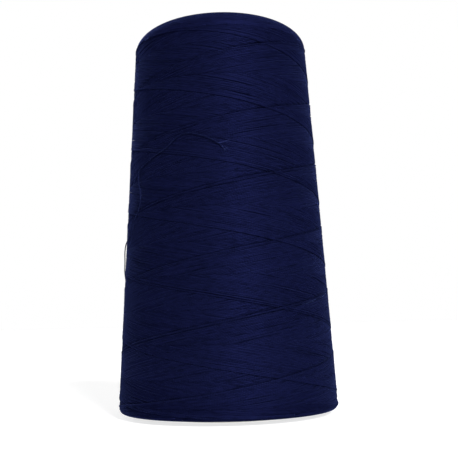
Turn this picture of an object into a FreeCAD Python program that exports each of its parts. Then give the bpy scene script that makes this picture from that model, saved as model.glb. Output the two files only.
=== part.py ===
import FreeCAD, Part

import math
import os

# A cone of sewing thread: a hollow moulded core with no flanges, and one continuous
# thread cross-wound on it into a tapered package whose free end lies loose on the winding.
# Units are millimetres. The origin is the centre of the core's foot, and +Z runs up the axis.

# Core: one plastic moulding
core_height = 121.0
core_taper_deg = 3.5
nose_radius = 13.0
wall = 1.3
nose_edge_radius = 0.5
spindle_radius = 8.0
top_wall = 1.5
collar_length = 11.0
collar_wall = 1.2
foot_radius = 22.4
foot_height = 1.2
foot_edge_radius = 0.3

# Shallow ring grooves that stop the first layer of thread from sliding
groove_count = 20
groove_depth = 0.3
groove_width = 1.0
first_groove_height = 8.0
last_groove_height = 112.0

# Webs that hold the spindle collar, ribs that centre a stacked cone, notches that catch the thread
web_count = 6
web_thickness = 1.0
web_height = 8.5
rib_count = 4
rib_thickness = 1.2
rib_bottom = 1.0
rib_top = 26.0
rib_depth = 1.0
notch_count = 4
notch_width = 0.9
notch_depth = 1.6

# Blank ring label on the nose
label_inner_radius = 8.8
label_outer_radius = 12.2
label_thickness = 0.2

# Wound thread
package_base_radius = 33.0
package_taper_deg = 3.3
package_height = 118.5
base_edge_radius = 1.7
shoulder_rise = 7.7
thread_diameter = 0.36

# Loose end of the thread, from where it leaves the winding to its tip
loose_end_route = [
    (-29.5, 10.7, 35.7),
    (-30.5, 7.1, 37.9),
    (-31.1, 3.2, 40.7),
    (-31.1, -0.4, 43.6),
    (-30.6, -3.2, 46.6),
    (-30.5, -4.3, 49.7),
    (-29.7, -7.4, 52.1),
    (-27.7, -12.7, 53.5),
    (-27.0, -13.6, 55.7),
    (-26.1, -15.0, 58.4),
    (-24.7, -17.2, 60.9),
    (-24.1, -17.9, 63.4),
    (-24.2, -17.5, 66.2),
    (-24.8, -16.2, 68.7),
    (-25.0, -15.4, 71.1),
    (-24.2, -16.5, 73.0),
    (-22.5, -18.7, 74.0),
    (-20.6, -20.7, 75.1),
    (-18.3, -22.7, 76.3),
    (-16.0, -24.3, 77.3),
    (-14.1, -25.4, 79.0),
    (-12.0, -26.4, 80.6),
    (-9.1, -27.6, 81.1),
    (-6.6, -28.3, 80.1),
    (-4.2, -28.7, 79.3),
    (-2.1, -29.0, 78.1),
    (-0.5, -29.1, 76.8),
    (0.8, -29.0, 75.9),
]
arc_share = 0.45

axis_point = FreeCAD.Vector(0, 0, 0)
axis = FreeCAD.Vector(0, 0, 1)
full_turn = 360.0


def core_radius(height):
    """Outer radius of the core's cone at a height."""
    return nose_radius + (core_height - height) * math.tan(math.radians(core_taper_deg))


def section_point(radius, height):
    """A point of a section drawn in the plane through the axis and +X."""
    return FreeCAD.Vector(radius, 0, height)


def rounded_path(corners, closed=False):
    """Straight runs joined by tangent arcs; corners is a list of (point, arc radius)."""
    last = len(corners) - 1
    ends = []
    edges = []
    for index, (corner, radius) in enumerate(corners):
        is_end = not closed and index in (0, last)
        if is_end or radius == 0:
            ends.append((corner, corner))
            continue
        before = (corners[index - 1][0] - corner).normalize()
        after = (corners[(index + 1) % len(corners)][0] - corner).normalize()
        half_corner = before.getAngle(after) / 2
        tangent = radius / math.tan(half_corner)
        bisector = (before + after).normalize()
        middle = corner + bisector * (radius / math.sin(half_corner) - radius)
        start = corner + before * tangent
        end = corner + after * tangent
        edges.append(Part.Arc(start, middle, end).toShape())
        ends.append((start, end))
    run_count = len(corners) if closed else last
    for index in range(run_count):
        start = ends[index][1]
        end = ends[(index + 1) % len(corners)][0]
        edges.append(Part.LineSegment(start, end).toShape())
    return Part.Wire(Part.__sortEdges__(edges))


def turned(wire):
    """The solid that a closed section makes in a full turn about the axis."""
    return Part.Face(wire).revolve(axis_point, axis, full_turn)


def groove_corners():
    """Corners of the grip grooves, from the lowest to the highest."""
    corners = []
    pitch = (last_groove_height - first_groove_height) / (groove_count - 1)
    for index in range(groove_count):
        low = first_groove_height + index * pitch
        high = low + groove_width
        for height, depth in ((low, 0), (low, groove_depth), (high, groove_depth), (high, 0)):
            corners.append((section_point(core_radius(height) - depth, height), 0))
    return corners


def core_shell():
    """Tapered tube with its foot ring, grip grooves, nose wall and spindle collar."""
    collar_bottom = core_height - collar_length
    collar_radius = spindle_radius + collar_wall
    ceiling = core_height - top_wall
    corners = [
        (section_point(core_radius(0) - wall, 0), 0),
        (section_point(foot_radius, 0), foot_edge_radius),
        (section_point(foot_radius, foot_height), foot_edge_radius),
        (section_point(core_radius(foot_height), foot_height), 0),
    ]
    corners += groove_corners()
    corners += [
        (section_point(nose_radius, core_height), nose_edge_radius),
        (section_point(spindle_radius, core_height), 0),
        (section_point(spindle_radius, collar_bottom), 0),
        (section_point(collar_radius, collar_bottom), 0),
        (section_point(collar_radius, ceiling), 0),
        (section_point(core_radius(ceiling) - wall, ceiling), 0),
    ]
    return turned(rounded_path(corners, closed=True))


def around(shape, count, first_angle=0.0):
    """Copies of a shape, evenly spaced about the axis."""
    copies = []
    for index in range(count):
        copy = shape.copy()
        copy.rotate(axis_point, axis, first_angle + index * full_turn / count)
        copies.append(copy)
    return copies


def fin(section, thickness):
    """A flat plate standing in the plane of the section, centred on it."""
    outline = Part.makePolygon([section_point(radius, height) for radius, height in section + section[:1]])
    outline.translate(FreeCAD.Vector(0, -thickness / 2, 0))
    return Part.Face(outline).extrude(FreeCAD.Vector(0, thickness, 0))


def collar_webs():
    """Radial webs between the spindle collar and the cone."""
    top = core_height - top_wall / 2
    bottom = top - web_height
    inner = spindle_radius + collar_wall / 2
    section = [
        (inner, bottom),
        (core_radius(bottom) - wall / 2, bottom),
        (core_radius(top) - wall / 2, top),
        (inner, top),
    ]
    return around(fin(section, web_thickness), web_count)


def centring_ribs():
    """Ribs inside the foot that centre and free a stacked cone; their ends slope into the wall."""
    lead_in = 2 * rib_depth
    low = rib_bottom + lead_in
    high = rib_top - lead_in
    section = [
        (core_radius(rib_bottom) - wall / 2, rib_bottom),
        (core_radius(low) - wall - rib_depth, low),
        (core_radius(high) - wall - rib_depth, high),
        (core_radius(rib_top) - wall / 2, rib_top),
    ]
    return around(fin(section, rib_thickness), rib_count)


def thread_notches():
    """Cutters for the slits in the foot ring that catch the thread."""
    cutter = Part.makeBox(
        2 * notch_depth,
        notch_width,
        3 * foot_height,
        FreeCAD.Vector(foot_radius - notch_depth, -notch_width / 2, -foot_height),
    )
    half_pitch = full_turn / notch_count / 2
    return around(cutter, notch_count, half_pitch)


def make_core():
    """The core's moulding in one solid."""
    core = core_shell().fuse(collar_webs() + centring_ribs())
    return core.cut(thread_notches()).removeSplitter()


def make_label():
    """Flat ring stuck on the nose, around the spindle hole."""
    disc = Part.makeCylinder(label_outer_radius, label_thickness, section_point(0, core_height))
    hole = Part.makeCylinder(label_inner_radius, label_thickness, section_point(0, core_height))
    return disc.cut(hole)


def make_package():
    """The wound thread as one solid ring with a tapered side and a domed top."""
    bottom = foot_height
    top = bottom + package_height
    shoulder_start = top - shoulder_rise
    side_length = shoulder_start - bottom - base_edge_radius
    shoulder_radius = package_base_radius - side_length * math.tan(math.radians(package_taper_deg))
    top_inner = section_point(core_radius(top), top)
    bottom_inner = section_point(core_radius(bottom), bottom)
    shoulder_outer = section_point(shoulder_radius, shoulder_start)
    shoulder_centre = section_point(core_radius(top), shoulder_start)
    shoulder = Part.ArcOfEllipse(Part.Ellipse(shoulder_outer, top_inner, shoulder_centre), 0, math.pi / 2)
    base_corner = section_point(package_base_radius, bottom)
    side = rounded_path([(bottom_inner, 0), (base_corner, base_edge_radius), (shoulder_outer, 0)])
    inside = Part.LineSegment(top_inner, bottom_inner).toShape()
    edges = side.Edges + [shoulder.toShape(), inside]
    return turned(Part.Wire(Part.__sortEdges__(edges)))


def route_corners():
    """The loose end's route with the largest arc that fits at each of its points."""
    points = [FreeCAD.Vector(*place) for place in loose_end_route]
    corners = [(points[0], 0)]
    for before, point, after in zip(points, points[1:], points[2:]):
        turn = (point - before).getAngle(after - point)
        shorter_run = min(point.distanceToPoint(before), point.distanceToPoint(after))
        corners.append((point, arc_share * shorter_run / math.tan(turn / 2)))
    corners.append((points[-1], 0))
    return corners


def make_loose_end():
    """The free end of the thread as a round tube along its route."""
    corners = route_corners()
    path = rounded_path(corners)
    start, following = corners[0][0], corners[1][0]
    circle = Part.Circle(start, following - start, thread_diameter / 2)
    section = Part.Wire(circle.toShape())
    tube = path.makePipeShell([section], True, False, 2)
    expected = math.pi * thread_diameter ** 2 / 4 * path.Length
    radii = [round(radius, 2) for point, radius in corners[1:-1]]
    print("loose end: bend radii", radii)
    print("loose end: length %.2f, volume %.4f, section x length %.4f" % (path.Length, tube.Volume, expected))
    return tube


nodes = {
    "cone_core": make_core(),
    "core_label": make_label(),
    "thread_package": make_package(),
    "loose_end": make_loose_end(),
}

os.makedirs("parts", exist_ok=True)
for name, shape in nodes.items():
    print(name, "valid", shape.isValid(), "solids", len(shape.Solids), "volume %.1f" % shape.Volume)
    shape.exportStep("parts/" + name + ".step")
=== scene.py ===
import math

import bpy
import numpy as np
from mathutils import Matrix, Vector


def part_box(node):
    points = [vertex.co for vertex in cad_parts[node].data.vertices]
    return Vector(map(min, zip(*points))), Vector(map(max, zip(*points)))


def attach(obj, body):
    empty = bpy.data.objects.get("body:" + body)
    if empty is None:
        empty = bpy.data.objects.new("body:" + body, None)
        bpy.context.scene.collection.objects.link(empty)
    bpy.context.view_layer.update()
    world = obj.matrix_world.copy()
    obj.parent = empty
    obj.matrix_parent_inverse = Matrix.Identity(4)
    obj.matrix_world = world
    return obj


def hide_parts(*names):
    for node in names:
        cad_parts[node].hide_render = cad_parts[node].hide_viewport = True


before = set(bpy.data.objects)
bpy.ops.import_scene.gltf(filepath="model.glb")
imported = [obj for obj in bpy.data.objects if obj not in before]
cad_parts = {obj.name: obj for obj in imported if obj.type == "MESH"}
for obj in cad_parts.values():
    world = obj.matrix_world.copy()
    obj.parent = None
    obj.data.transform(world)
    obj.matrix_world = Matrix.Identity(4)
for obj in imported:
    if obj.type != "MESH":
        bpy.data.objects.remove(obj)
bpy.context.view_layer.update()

# A cone of navy sewing thread. The wound thread is laid strand by strand on the package's outside,
# as the winding machine does it: up and down strokes cross each other, and each strand rests on
# the ones laid before it. Lengths are metres and angles radians, unless a name or note says otherwise.
mm = 0.001
full_turn = 2 * math.pi
random = np.random.default_rng(7)

# Sizes from the frame
package_low, package_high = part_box("thread_package")
package_bottom = package_low[2]
package_top = package_high[2]
foot_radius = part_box("cone_core")[1][0]

# The package's outline, from just inside the foot's edge, up the side and over the shoulder
inside_foot = 1.0 * mm
base_radius = 33.0 * mm
taper = math.radians(3.3)
base_edge_radius = 1.7 * mm
shoulder_rise = 7.7 * mm
nose_radius = 13.1 * mm
core_taper = math.radians(3.5)
edge_steps = 40
shoulder_steps = 120

# The thread. On the winding it is pressed flat.
strand_width = 0.44 * mm
strand_height = 0.29 * mm
ply_count = 3
ply_spacing_mm = 0.7

# The winding: turns in one stroke, and the share of a turn in which a strand swings round at each end
strand_spacing = 0.40 * mm
turns_per_stroke = 3.25
base_reversal = 0.47
top_reversal = 0.23
cover_cycles = 2
low_turn_drop = 0.9 * mm
high_turn_rise = 0.5 * mm

# How unevenly strokes lie: within a stroke, from one to the next, a few that stray, and the last ones
wander_spread = 0.05 * mm
wander_knots = 80
offset_spread = 0.035 * mm
stray_share = 0.012
stray_spread = 1.1 * mm
calm_strokes = 8
calm_share = 0.3

# Older turning points, which show past the ends of the newer strokes. Reach and steps are in turns.
base_arcs = 420
crown_arcs = 900
base_arcs_from = 0.3 * mm
crown_arcs_from = 0.2 * mm
arc_reach = 0.22
arc_step = 2 * turns_per_stroke + 0.137
arc_step_spread = 0.06
arc_spread = 0.05 * mm
arc_lean_spread = 0.1 * mm

# How deep a strand sits, in strand heights: among its neighbours, where newer strands cover it, and
# with each layer above it. Turning points hardly dip, and the newest strands stand higher.
seat_depth = 0.35
cover_depth = 0.85
layer_depth = 0.25
oldest_layer = 1.5
edge_cover = 0.05
fresh_height = 0.35
fresh_strands = 12

# Where the last strand leaves the winding: its bearing, to the right of straight in front, and how
# it rises off the others
leave_bearing = math.radians(-110)
leave_lift = 0.3 * mm
leave_run = 3.0 * mm

# Grid that keeps the newest strand at each place: rows of cells up the outline, columns round it
cell = 0.1 * mm
columns = 1440
margin_rows = 6
strand_cells = np.arange(-2, 3)
middle_cells = np.arange(-1, 2)

# Cells that a strand takes from older ones. A stroke takes more on one side, which leaves a groove
# there, but not close to its turning points.
taken_cells = {
    "winding_edges": strand_cells,
    "winding_rising": np.arange(-2, 7),
    "winding_falling": np.arange(-4, 3),
}
groove_from_base = 2.0 * mm
groove_from_top = 4.0 * mm

# Strand meshes: columns from point to point, extra points where a strand goes fully under others,
# and columns to each side over which its cover is averaged
mesh_step = 16
dip_steps = 3
settle = 4
strand_sides = 6
most_triangles = 180000

# The closed ring under the strands
body_depth = 0.7 * mm
body_row_step = 12
body_sides = 144

# The loose end's route, the same points as in the CAD model
loose_end_route = [
    (-0.0295, 0.0107, 0.0357),
    (-0.0305, 0.0071, 0.0379),
    (-0.0311, 0.0032, 0.0407),
    (-0.0311, -0.0004, 0.0436),
    (-0.0306, -0.0032, 0.0466),
    (-0.0305, -0.0043, 0.0497),
    (-0.0297, -0.0074, 0.0521),
    (-0.0277, -0.0127, 0.0535),
    (-0.0270, -0.0136, 0.0557),
    (-0.0261, -0.0150, 0.0584),
    (-0.0247, -0.0172, 0.0609),
    (-0.0241, -0.0179, 0.0634),
    (-0.0242, -0.0175, 0.0662),
    (-0.0248, -0.0162, 0.0687),
    (-0.0250, -0.0154, 0.0711),
    (-0.0242, -0.0165, 0.0730),
    (-0.0225, -0.0187, 0.0740),
    (-0.0206, -0.0207, 0.0751),
    (-0.0183, -0.0227, 0.0763),
    (-0.0160, -0.0243, 0.0773),
    (-0.0141, -0.0254, 0.0790),
    (-0.0120, -0.0264, 0.0806),
    (-0.0091, -0.0276, 0.0811),
    (-0.0066, -0.0283, 0.0801),
    (-0.0042, -0.0287, 0.0793),
    (-0.0021, -0.0290, 0.0781),
    (-0.0005, -0.0291, 0.0768),
    (0.0008, -0.0290, 0.0759),
]
route_steps = 20

# The loose end's plies. One that comes loose further before the tip than the distance below is drawn from
# there in a lighter copy of the thread: painted light, for the light that its spread fibres catch.
ply_radius = 0.092 * mm
ply_offset = 0.088 * mm
ply_sides = 8
ply_thins = 0.35 * mm
thin_share = 0.6
painted_light_from = 1.1 * mm
# For each ply: how far before the tip it comes loose, how fast it then goes sideways and outward,
# and how much it falls short of the tip
ply_ends = [
    (2.6 * mm, 0.95, 0.30, 1.1 * mm),
    (1.2 * mm, -0.30, 0.10, 0.2 * mm),
    (1.0 * mm, 0.12, 0.15, 0.0),
]

# Fibres at the cut
fibres_per_ply = 12
fibre_radius = 0.020 * mm
fibre_reach = 1.0 * mm
fibre_points = 7
fibre_sides = 4
fibre_lean = 0.45
fibre_bend = 0.35
fibre_bend_outward = 0.3
fibre_taper = 0.6


# ---------------------------------------------------------------- package outline

def outline():
    """Radius, height and outward normal at every cell along the package's outside, foot to nose."""
    edge_angles = np.linspace(-math.pi / 2, taper, edge_steps)
    edge_centre = (base_radius - base_edge_radius, package_bottom + base_edge_radius)
    shoulder_start = package_top - shoulder_rise
    side_height = shoulder_start - edge_centre[1]
    shoulder_radius = base_radius - side_height * math.tan(taper)
    shoulder_angles = np.linspace(0, math.pi / 2, shoulder_steps)
    radii = np.concatenate([
        [foot_radius - inside_foot],
        edge_centre[0] + base_edge_radius * np.cos(edge_angles),
        nose_radius + (shoulder_radius - nose_radius) * np.cos(shoulder_angles),
    ])
    heights = np.concatenate([
        [package_bottom],
        edge_centre[1] + base_edge_radius * np.sin(edge_angles),
        shoulder_start + shoulder_rise * np.sin(shoulder_angles),
    ])
    along = np.concatenate([[0], np.cumsum(np.hypot(np.diff(radii), np.diff(heights)))])
    places = np.arange(0, along[-1], cell)
    radii_here = np.interp(places, along, radii)
    heights_here = np.interp(places, along, heights)
    run_r = np.gradient(radii_here)
    run_z = np.gradient(heights_here)
    size = np.hypot(run_r, run_z)
    return radii_here, heights_here, run_z / size, -run_r / size


out_radius, out_height, out_normal_r, out_normal_z = outline()
rows = len(out_radius)
outline_length = (rows - 1) * cell


def along_at_height(height):
    """Distance along the outline of a height on the side, which leaves out the underside and crown."""
    crown_margin = 5 * mm
    base_margin = 0.1 * mm
    side = (out_radius > nose_radius + crown_margin) & (out_height > package_bottom + base_margin)
    index = np.argmin(np.where(side, abs(out_height - height), 1.0))
    return index * cell


# ---------------------------------------------------------------- laying the thread

owner = np.full((columns, rows), -1, np.int32)
laid = []

low_turn = along_at_height(package_bottom + base_edge_radius) - low_turn_drop
high_turn = along_at_height(package_top - shoulder_rise) + high_turn_rise
pitch = (high_turn - low_turn) / (turns_per_stroke - (base_reversal + top_reversal) / 2)
strand_shift = -strand_spacing / (4 * pitch)
stroke_turns = turns_per_stroke + strand_shift
strokes_per_cycle = int(pitch / 2 / strand_spacing) * 4


def grid_place(first_column, along):
    """Columns and rows of the grid that a strand passes."""
    column = (first_column + np.arange(len(along))) % columns
    row = np.clip(np.rint(along / cell).astype(int), margin_rows, rows - 1 - margin_rows)
    return column[:, None], row[:, None]


def lay(first_column, along, family):
    """Lays one stroke, given by its distance along the outline at each column that it passes."""
    column, row = grid_place(first_column, along)
    owner[column, row + strand_cells] = len(laid)
    inner = (along > low_turn + groove_from_base) & (along < high_turn - groove_from_top)
    owner[column[inner], row[inner] + taken_cells[family]] = len(laid)
    laid.append((first_column, along, family))


def on_top(number, first_column, along):
    """Share of a strand's middle that nothing covers, from 0 to 1, averaged along the strand."""
    column, row = grid_place(first_column, along)
    share = (owner[column, row + middle_cells] == number).mean(axis=1)
    padded = np.pad(share, settle, mode="edge")
    return np.convolve(padded, np.ones(2 * settle + 1) / (2 * settle + 1), mode="valid")


def swing(turns, reversal):
    """Turns of rise that a strand has made, some turns after its turning point."""
    return np.where(turns < reversal, turns ** 2 / (2 * reversal), turns - reversal / 2)


def stroke(upward, low_offset, high_offset):
    """Distance along the outline through one stroke, from one turning point to the next."""
    turns = np.arange(0, stroke_turns, 1 / columns)
    from_low = turns if upward else stroke_turns - turns
    from_high = stroke_turns - from_low
    half = stroke_turns / 2
    low_part = low_turn + pitch * swing(from_low, base_reversal)
    high_part = high_turn - pitch * swing(from_high, top_reversal)
    line = np.where(from_low < half, low_part, high_part)
    knots = np.linspace(0, stroke_turns, wander_knots)
    wander = np.interp(turns, knots, random.normal(0, wander_spread, wander_knots))
    share = from_low / stroke_turns
    return line + wander + low_offset * (1 - share) + high_offset * share


def lay_arcs(count, first, last, direction, reversal):
    """Older turning points, from one distance along the outline to another, oldest first."""
    turns = np.arange(-arc_reach, arc_reach, 1 / columns)
    for index in range(count):
        turning = first + (last - first) * index / count + random.normal(0, arc_spread)
        column = int((index * arc_step + random.uniform(-arc_step_spread, arc_step_spread)) * columns)
        lean = random.normal(0, arc_lean_spread) * turns / arc_reach
        bend = direction * pitch * swing(abs(turns), reversal)
        lay(column, np.clip(turning + bend + lean, 0, outline_length), "winding_edges")


def lay_strokes(last_line_along, last_line_bearing):
    """The outermost strokes as one continuous thread; the last one ends at the given place."""
    count = cover_cycles * strokes_per_cycle + 1
    line_turns = (last_line_along - low_turn) / pitch + base_reversal / 2
    last_start = last_line_bearing / full_turn - line_turns
    offsets = random.normal(0, offset_spread, count + 1)
    strays = random.uniform(0, 1, count + 1) < stray_share
    offsets += strays * random.normal(0, stray_spread, count + 1)
    offsets[-calm_strokes:] *= calm_share
    for index in range(count):
        upward = index % 2 == 0
        first = int(round((last_start - (count - 1 - index) * stroke_turns) * columns))
        along = stroke(upward, offsets[index + (not upward)], offsets[index + upward])
        if index == count - 1:
            along = along[: int(line_turns * columns)]
        lay(first, along, "winding_rising" if upward else "winding_falling")


# ---------------------------------------------------------------- meshes

def new_mesh_object(name, verts, faces_loop, loop_starts, loop_totals):
    """A smooth-shaded mesh object from flat arrays."""
    mesh = bpy.data.meshes.new(name)
    mesh.vertices.add(len(verts))
    mesh.vertices.foreach_set("co", verts.astype(np.float32).ravel())
    mesh.loops.add(len(faces_loop))
    mesh.loops.foreach_set("vertex_index", faces_loop.astype(np.int32))
    mesh.polygons.add(len(loop_starts))
    mesh.polygons.foreach_set("loop_start", loop_starts.astype(np.int32))
    mesh.polygons.foreach_set("loop_total", loop_totals.astype(np.int32))
    mesh.polygons.foreach_set("use_smooth", np.full(len(loop_starts), True))
    mesh.update(calc_edges=True)
    mesh.validate()
    made = bpy.data.objects.new(name, mesh)
    bpy.context.scene.collection.objects.link(made)
    return made


class TubeBag:
    """Collects closed tubes and makes one mesh of them."""

    def __init__(self):
        self.verts = []
        self.loops = []
        self.totals = []
        self.values = {"along_mm": [], "around": [], "tone": [], "cover_for_painted_shade": []}
        self.count = 0

    def add(self, points, normals, half_width, half_height, tone, cover=0.0, ring=strand_sides):
        """One tube along the points; half_width lies along the surface, half_height along the normal."""
        n = len(points)
        run = np.gradient(points, axis=0)
        run /= np.linalg.norm(run, axis=1)[:, None]
        side = np.cross(run, normals)
        side /= np.linalg.norm(side, axis=1)[:, None]
        up = np.cross(side, run)
        angle = np.arange(ring) * full_turn / ring
        across = np.cos(angle)[None, :, None] * np.reshape(half_width, (-1, 1, 1)) * side[:, None, :]
        lift = np.sin(angle)[None, :, None] * np.reshape(half_height, (-1, 1, 1)) * up[:, None, :]
        verts = (points[:, None, :] + across + lift).reshape(-1, 3)
        first = np.arange(n - 1)[:, None] * ring
        here = np.arange(ring)[None, :]
        after = (here + 1) % ring
        quads = np.stack([first + here, first + after, first + ring + after, first + ring + here], axis=-1)
        ends = [np.arange(ring)[::-1], (n - 1) * ring + np.arange(ring)]
        self.verts.append(verts)
        self.loops.append(np.concatenate([quads.reshape(-1), *ends]) + self.count)
        self.totals.append(np.concatenate([np.full(quads.shape[0] * ring, 4), [ring, ring]]))
        length = np.concatenate([[0], np.cumsum(np.linalg.norm(np.diff(points, axis=0), axis=1))])
        self.values["along_mm"].append(np.repeat(length / mm, ring))
        self.values["around"].append(np.tile(angle / full_turn, n))
        self.values["tone"].append(np.full(n * ring, tone))
        # the strand's cover share, which the thread material turns into painted shade
        self.values["cover_for_painted_shade"].append(np.repeat(np.broadcast_to(cover, n), ring))
        self.count += n * ring

    def make(self, name):
        """The mesh, with the place along and around each strand, its tone and its cover as attributes."""
        totals = np.concatenate(self.totals)
        starts = np.concatenate([[0], np.cumsum(totals)[:-1]])
        made = new_mesh_object(name, np.concatenate(self.verts), np.concatenate(self.loops), starts, totals)
        for label, values in self.values.items():
            layer = made.data.attributes.new(label, "FLOAT", "POINT")
            layer.data.foreach_set("value", np.concatenate(values).astype(np.float32))
        return made


def visible_runs():
    """Points on each stretch of a laid strand that nothing covers, with a little more at each end."""
    reach = 2 * mesh_step
    for number, (first_column, along, family) in enumerate(laid):
        column, row = grid_place(first_column, along)
        seen = (owner[column, row + strand_cells] == number).any(axis=1)
        grown = np.convolve(seen, np.ones(2 * reach + 1), mode="same") > 0
        edges = np.flatnonzero(np.diff(np.concatenate([[0], grown.astype(int), [0]])))
        top = on_top(number, first_column, along)
        steps = np.floor(np.cumsum(1 / mesh_step + dip_steps * abs(np.gradient(top))))
        places = np.flatnonzero(np.diff(steps))
        for start, end in edges.reshape(-1, 2):
            picks = places[(places >= start) & (places < end)]
            if len(picks) > 2:
                yield number, picks, top


def strand_line(number, picks, top):
    """Centre line, normals and cover of one stretch of a strand."""
    grid = np.arange(rows)
    first, along, family = laid[number]
    age = len(laid) - number
    angle = (first + picks) / columns * full_turn
    place = along[picks] / cell
    radius = np.interp(place, grid, out_radius)
    height = np.interp(place, grid, out_height)
    normal_r = np.interp(place, grid, out_normal_r)
    normal_z = np.interp(place, grid, out_normal_z)
    layer = min(age / strokes_per_cycle, oldest_layer)
    cover = (edge_cover if family == "winding_edges" else 1.0) * (1 - top[picks])
    fresh = fresh_height * math.exp(-age / fresh_strands)
    sink = strand_height * (seat_depth + cover_depth * cover + layer_depth * layer - fresh)
    if age == 1:
        left = (len(along) - picks) / columns * full_turn * radius
        sink = sink - leave_lift * np.exp(-left / leave_run)
    r = radius - sink * normal_r
    z = height - sink * normal_z
    x_part = np.sin(angle)
    y_part = -np.cos(angle)
    points = np.stack([r * x_part, r * y_part, z], axis=1)
    normals = np.stack([normal_r * x_part, normal_r * y_part, normal_z], axis=1)
    return points, normals, cover


def mesh_strands():
    """One mesh for each group of strands, or more where a group has too many triangles for one."""
    bags = {}
    tones = random.uniform(0, 1, len(laid))
    for number, picks, top in visible_runs():
        points, normals, cover = strand_line(number, picks, top)
        group = bags.setdefault(laid[number][2], [TubeBag()])
        if group[-1].count * 2 > most_triangles:
            group.append(TubeBag())
        group[-1].add(points, normals, strand_width / 2, strand_height / 2, tones[number], cover)
    made = []
    for family, group in bags.items():
        made += [bag.make(f"{family}_{index + 1}") for index, bag in enumerate(group)]
    return made


def lathe(name, profile, steps):
    """A closed ring from a closed outline of (radius, height) points."""
    profile = np.array(profile)
    count = len(profile)
    angle = np.arange(steps) * full_turn / steps
    radius = profile[:, 0]
    verts = np.stack([
        radius[None, :] * np.sin(angle)[:, None],
        -radius[None, :] * np.cos(angle)[:, None],
        np.broadcast_to(profile[:, 1], (steps, count)),
    ], axis=-1).reshape(-1, 3)
    turn = np.arange(steps)[:, None] * count
    after = (np.arange(steps)[:, None] + 1) % steps * count
    here = np.arange(count)[None, :]
    next_here = (here + 1) % count
    quads = np.stack([turn + here, after + here, after + next_here, turn + next_here], axis=-1).reshape(-1)
    starts = np.arange(0, len(quads), 4)
    return new_mesh_object(name, verts, quads, starts, np.full(len(starts), 4))


def package_body():
    """The thread under the visible strands, as one closed ring."""
    inner_radius = out_radius - body_depth * out_normal_r
    inner_height = out_height - body_depth * out_normal_z
    inner = np.stack([inner_radius, inner_height], axis=1)[::body_row_step]
    ends = []
    for height in (package_bottom + body_depth, package_top - body_depth):
        ends.append((nose_radius + (package_top - height) * math.tan(core_taper), height))
    return lathe("package_body", [ends[0], *inner[1:-1], ends[1]], body_sides)


# ---------------------------------------------------------------- loose end

def spline_points(route):
    """Points read from the smooth NURBS line that has the route's points as its control points."""
    curve = bpy.data.curves.new("route", "CURVE")
    curve.dimensions = "3D"
    spline = curve.splines.new("NURBS")
    spline.points.add(len(route) - 1)
    for point, place in zip(spline.points, route):
        point.co = (*place, 1.0)
    spline.order_u = 3
    spline.use_endpoint_u = True
    spline.resolution_u = route_steps
    holder = bpy.data.objects.new("route", curve)
    mesh = bpy.data.meshes.new_from_object(holder)
    points = np.array([vertex.co[:] for vertex in mesh.vertices])
    bpy.data.objects.remove(holder)
    bpy.data.curves.remove(curve)
    bpy.data.meshes.remove(mesh)
    return points


def across_line(points):
    """Directions along, outward and sideways at each point of a line on the package."""
    run = np.gradient(points, axis=0)
    run /= np.linalg.norm(run, axis=1)[:, None]
    outward = points * (1, 1, 0)
    outward -= (outward * run).sum(axis=1)[:, None] * run
    outward /= np.linalg.norm(outward, axis=1)[:, None]
    return run, outward, np.cross(outward, run)


def add_fibres(bag, root, run, outward, sideways):
    """A few fine fibres that fan out from a ply's cut end."""
    for index in range(fibres_per_ply):
        lean = random.normal(0, fibre_lean, 2)
        bend = random.normal(0, fibre_bend, 2)
        length = fibre_reach * random.uniform(0.5, 1.0)
        share = np.linspace(0, 1, fibre_points)[:, None]
        path = root + length * share * (run + lean[0] * sideways + abs(lean[1]) * outward)
        path = path + length * share ** 2 * (bend[0] * sideways + bend[1] * fibre_bend_outward * outward)
        normals = np.repeat(outward[None, :], len(path), axis=0)
        thin = fibre_radius * (1 - fibre_taper * share[:, 0])
        bag.add(path, normals, thin, thin, random.uniform(0.3, 1), ring=fibre_sides)


def loose_thread(path):
    """The free end as twisted plies that come apart near the tip, and the fibres at its cut."""
    places = np.concatenate([[0], np.cumsum(np.linalg.norm(np.diff(path, axis=0), axis=1))])
    run, outward, sideways = across_line(path)
    plies = TubeBag()
    fibres = TubeBag()
    for index, (loose_from, side_rate, out_rate, shorter) in enumerate(ply_ends):
        angle = full_turn * (places / (ply_count * ply_spacing_mm * mm) + index / ply_count)
        free = np.clip(places - (places[-1] - loose_from), 0, None)
        across = ply_offset * np.cos(angle) + side_rate * free
        above = ply_offset * np.sin(angle) + out_rate * free
        kept = places <= places[-1] - shorter
        ply = (path + across[:, None] * sideways + above[:, None] * outward)[kept]
        size = ply_radius * np.where(places[kept] > places[-1] - shorter - ply_thins, thin_share, 1.0)
        end = np.flatnonzero(kept)[-1]
        # a ply that comes loose far enough before the tip goes from there into the fibres' mesh, which gets
        # the lighter copy of the thread: painted light
        split = np.searchsorted(places, places[-1] - loose_from) if loose_from > painted_light_from else end
        tone = 0.2 + 0.3 * index
        wound = slice(0, split + 1)
        plies.add(ply[wound], outward[wound], size[wound], size[wound], tone, ring=ply_sides)
        if split < end:
            frayed = slice(split, end + 1)
            fibres.add(ply[frayed], outward[frayed], size[frayed], size[frayed], tone, ring=ply_sides)
        add_fibres(fibres, ply[-1], run[end] + side_rate * sideways[end], outward[end], sideways[end])
    return plies.make("loose_thread"), fibres.make("loose_fibres")


# ---------------------------------------------------------------- materials

def new_material(name):
    """A new node material, with its nodes, its links and its main shader."""
    material = bpy.data.materials.new(name)
    material.use_nodes = True
    nodes = material.node_tree.nodes
    shader = nodes["Principled BSDF"]
    return material, nodes, material.node_tree.links, shader


def attribute(nodes, name):
    """The value of a mesh attribute."""
    node = nodes.new("ShaderNodeAttribute")
    node.attribute_name = name
    return node.outputs["Fac"]


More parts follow.
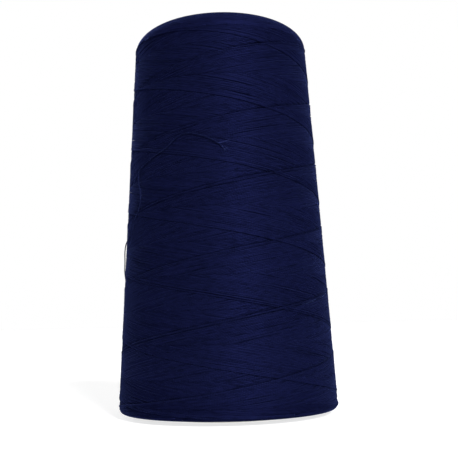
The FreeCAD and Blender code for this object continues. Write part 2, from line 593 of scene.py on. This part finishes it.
def math_node(nodes, links, operation, *values):
    """Result of a math node on sockets or numbers."""
    node = nodes.new("ShaderNodeMath")
    node.operation = operation
    for socket, value in zip(node.inputs, values):
        if isinstance(value, (int, float)):
            socket.default_value = value
        else:
            links.new(value, socket)
    return node.outputs["Value"]


def noise_node(nodes, links, place, scale, detail):
    """Noise from 0 to 1 at a place."""
    node = nodes.new("ShaderNodeTexNoise")
    node.inputs["Scale"].default_value = scale
    node.inputs["Detail"].default_value = detail
    links.new(place, node.inputs["Vector"])
    return node.outputs["Fac"]


def colour_ramp(nodes, links, value, dark, light, dark_at, light_at):
    """Colour between dark and light, by a value."""
    node = nodes.new("ShaderNodeValToRGB")
    for element, colour, position in zip(node.color_ramp.elements, (dark, light), (dark_at, light_at)):
        element.position = position
        element.color = (*colour, 1)
    links.new(value, node.inputs["Fac"])
    return node.outputs["Color"]


def bump(nodes, links, shader, height, strength, distance):
    """Relief on a shader, from a height between 0 and 1."""
    node = nodes.new("ShaderNodeBump")
    node.inputs["Strength"].default_value = strength
    node.inputs["Distance"].default_value = distance
    links.new(height, node.inputs["Height"])
    links.new(node.outputs["Normal"], shader.inputs["Normal"])


def thread_material(name, dark, light):
    """Twisted thread: ply stripes round each strand as relief and as painted shade in the grooves between
    plies, tone that varies along and between strands, and painted shade where newer strands cover a strand.
    """
    patch_length_mm = 2.0
    patch_shift = 61.0
    ply_groove_painted_shade = 0.35
    patch_share = 1.1
    tone_share = 0.2
    painted_cover_shade = 0.38
    material, nodes, links, shader = new_material(name)
    shader.inputs["Roughness"].default_value = 0.48
    shader.inputs["Metallic"].default_value = 0.35
    shader.inputs["Specular Tint"].default_value = (0.05, 0.070, 0.22, 1.0)
    shader.inputs["Specular IOR Level"].default_value = 0.0
    shader.inputs["Sheen Weight"].default_value = 0.17
    shader.inputs["Sheen Roughness"].default_value = 0.3
    shader.inputs["Sheen Tint"].default_value = (0.22, 0.31, 1.0, 1.0)
    tone = attribute(nodes, "tone")
    along = attribute(nodes, "along_mm")
    around = attribute(nodes, "around")
    # patches of a few millimetres along each strand, different on each
    place = nodes.new("ShaderNodeCombineXYZ")
    links.new(math_node(nodes, links, "MULTIPLY", along, 1 / patch_length_mm), place.inputs["X"])
    links.new(math_node(nodes, links, "MULTIPLY", tone, patch_shift), place.inputs["Y"])
    patches = noise_node(nodes, links, place.outputs["Vector"], scale=1.0, detail=3.0)
    # ply stripes, which climb round the strand as the twist does
    phase = math_node(nodes, links, "MULTIPLY", along, 1 / ply_spacing_mm)
    phase = math_node(nodes, links, "ADD", phase, math_node(nodes, links, "MULTIPLY", around, ply_count))
    wave = math_node(nodes, links, "COSINE", math_node(nodes, links, "MULTIPLY", phase, full_turn))
    stripe = math_node(nodes, links, "MULTIPLY_ADD", wave, 0.5, 0.5)
    bump(nodes, links, shader, stripe, strength=0.6, distance=0.04 * mm)
    # colour from the patch and the strand's own tone, with painted shade from the stripe: darker in the
    # grooves between the plies
    mixed = math_node(nodes, links, "MULTIPLY", stripe, ply_groove_painted_shade)
    mixed = math_node(nodes, links, "MULTIPLY_ADD", patches, patch_share, mixed)
    mixed = math_node(nodes, links, "MULTIPLY_ADD", tone, tone_share, mixed)
    colour = colour_ramp(nodes, links, mixed, dark, light, dark_at=0.35, light_at=0.9976)
    # painted shade: strands are darkened in colour where newer ones cover them, standing in for the shadow
    # in the grooves between strands
    cover_for_painted_shade = attribute(nodes, "cover_for_painted_shade")
    shade = nodes.new("ShaderNodeVectorMath")
    shade.operation = "SCALE"
    links.new(colour, shade.inputs[0])
    links.new(math_node(nodes, links, "MULTIPLY_ADD", cover_for_painted_shade, -painted_cover_shade, 1.0), shade.inputs["Scale"])
    links.new(shade.outputs["Vector"], shader.inputs["Base Color"])
    return material


def grained_material(name, dark, light, roughness, grain, bump_height):
    """Moulded plastic, paper or board: cloudy tone, a fine grain and slightly uneven roughness."""
    cloud_share = 0.6
    fine_share = 0.4
    uneven = 0.16
    material, nodes, links, shader = new_material(name)
    place = nodes.new("ShaderNodeTexCoord").outputs["Object"]
    clouds = noise_node(nodes, links, place, scale=60.0, detail=3.0)
    fine = noise_node(nodes, links, place, scale=1 / grain, detail=4.0)
    fine_part = math_node(nodes, links, "MULTIPLY", fine, fine_share)
    tone = math_node(nodes, links, "MULTIPLY_ADD", clouds, cloud_share, fine_part)
    colour = colour_ramp(nodes, links, tone, dark, light, dark_at=0.3, light_at=0.7)
    links.new(colour, shader.inputs["Base Color"])
    rough = math_node(nodes, links, "MULTIPLY_ADD", fine, uneven, roughness - uneven / 2)
    links.new(rough, shader.inputs["Roughness"])
    bump(nodes, links, shader, fine, strength=0.5, distance=bump_height)
    return material


# ---------------------------------------------------------------- stage, light and camera

def stage_floor():
    """Pale floor under the cone's foot. It glows, to come out as white as the photograph's ground."""
    bpy.ops.mesh.primitive_circle_add(vertices=96, radius=4.0, fill_type="NGON", location=(0, 0, 0))
    floor = bpy.context.object
    floor.name = "floor"
    greys = ((0.42, 0.42, 0.42), (0.45, 0.45, 0.45))
    board = grained_material("floor_board", *greys, roughness=0.9, grain=1.0 * mm, bump_height=0.02 * mm)
    glow = board.node_tree.nodes["Principled BSDF"]
    glow.inputs["Emission Color"].default_value = (1.0, 1.0, 1.0, 1)
    glow.inputs["Emission Strength"].default_value = 0.74
    floor.data.materials.append(board)


def far_light(name, bearing, elevation, strength, softness):
    """A distant light. All angles are in degrees: softness is its angular size, and bearing is
    to the right of straight in front."""
    data = bpy.data.lights.new(name, "SUN")
    data.energy = strength * math.pi
    data.angle = math.radians(softness)
    lamp = bpy.data.objects.new(name, data)
    turn = Matrix.Rotation(math.radians(bearing), 4, "Z")
    tilt = Matrix.Rotation(math.radians(90 - elevation), 4, "X")
    lamp.matrix_world = turn @ tilt
    bpy.context.scene.collection.objects.link(lamp)


def studio_light():
    """White surroundings that light only weakly, a soft key in front and a rim light behind each side."""
    world = bpy.data.worlds.new("studio")
    world.use_nodes = True
    nodes = world.node_tree.nodes
    links = world.node_tree.links
    seen = nodes["Background"]
    seen.inputs["Color"].default_value = (1.0, 1.0, 1.0, 1)
    seen.inputs["Strength"].default_value = 1.0
    lighting = nodes.new("ShaderNodeBackground")
    lighting.inputs["Color"].default_value = (1.0, 1.0, 1.0, 1)
    lighting.inputs["Strength"].default_value = 0.1
    ray = nodes.new("ShaderNodeLightPath")
    mix = nodes.new("ShaderNodeMixShader")
    links.new(ray.outputs["Is Camera Ray"], mix.inputs["Fac"])
    links.new(lighting.outputs[0], mix.inputs[1])
    links.new(seen.outputs[0], mix.inputs[2])
    links.new(mix.outputs[0], nodes["World Output"].inputs["Surface"])
    bpy.context.scene.world = world
    far_light("key", bearing=24, elevation=31, strength=1.60, softness=14)
    far_light("left_rim", bearing=-140, elevation=2, strength=1.30, softness=60)
    far_light("right_rim", bearing=128, elevation=2, strength=0.68, softness=40)
    bpy.context.scene.view_settings.view_transform = "Standard"


def photo_camera():
    """Low camera in front of the cone, looking slightly up, with a small lean."""
    data = bpy.data.cameras.new("camera")
    data.sensor_width = 36.0
    data.lens = 65.8
    data.shift_x = 0.010
    data.clip_start = 0.01
    camera = bpy.data.objects.new("camera", data)
    distance = 258.4 * mm
    height = package_bottom + 26.8 * mm
    look_up = math.radians(90 + 6.27)
    lean = math.radians(-1.35)
    turn = Matrix.Rotation(look_up, 4, "X") @ Matrix.Rotation(lean, 4, "Z")
    camera.matrix_world = Matrix.Translation((0, -distance, height)) @ turn
    bpy.context.scene.collection.objects.link(camera)
    bpy.context.scene.camera = camera


# ---------------------------------------------------------------- build

lay_arcs(base_arcs, base_arcs_from, low_turn, 1, base_reversal)
lay_arcs(crown_arcs, outline_length - crown_arcs_from, high_turn, -1, top_reversal)
lay_strokes(along_at_height(loose_end_route[0][2]), leave_bearing)

navy = thread_material("navy_thread", (0.0010, 0.0013, 0.0068), (0.0054, 0.0070, 0.0350))
strands = mesh_strands()
body = package_body()
for piece in strands + [body]:
    piece.data.materials.append(navy)
    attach(piece, "root")
    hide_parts("thread_package")
    print(piece.name, "triangles", sum(len(p.vertices) - 2 for p in piece.data.polygons))

pale_plastic = ((0.72, 0.70, 0.63), (0.80, 0.79, 0.73))
off_white = ((0.84, 0.82, 0.76), (0.90, 0.89, 0.85))
core_plastic = grained_material("core_plastic", *pale_plastic, roughness=0.42, grain=0.4 * mm,
                                bump_height=0.02 * mm)
label_paper = grained_material("label_paper", *off_white, roughness=0.8, grain=0.15 * mm,
                               bump_height=0.02 * mm)
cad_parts["cone_core"].data.materials[0] = core_plastic
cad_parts["core_label"].data.materials[0] = label_paper

# The loose end is a lighter copy of the same thread: painted light, as it stands off the winding and
# catches more light.
navy_loose_painted_light = thread_material("navy_loose_painted_light", (0.0024, 0.0034, 0.0158), (0.0070, 0.0096, 0.0390))
loose_path = spline_points(loose_end_route)
# The spread ply and the fibres at the cut are a still lighter copy of the thread: painted light, for the
# light that the spread fibres catch.
navy_frayed_painted_light = thread_material("navy_frayed_painted_light", (0.0110, 0.0150, 0.0600), (0.0280, 0.0380, 0.1400))
loose, tip_fibres = loose_thread(loose_path)
for piece, material in ((loose, navy_loose_painted_light), (tip_fibres, navy_frayed_painted_light)):
    piece.data.materials.append(material)
    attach(piece, "root")
    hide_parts("loose_end")

stage_floor()
studio_light()
photo_camera()
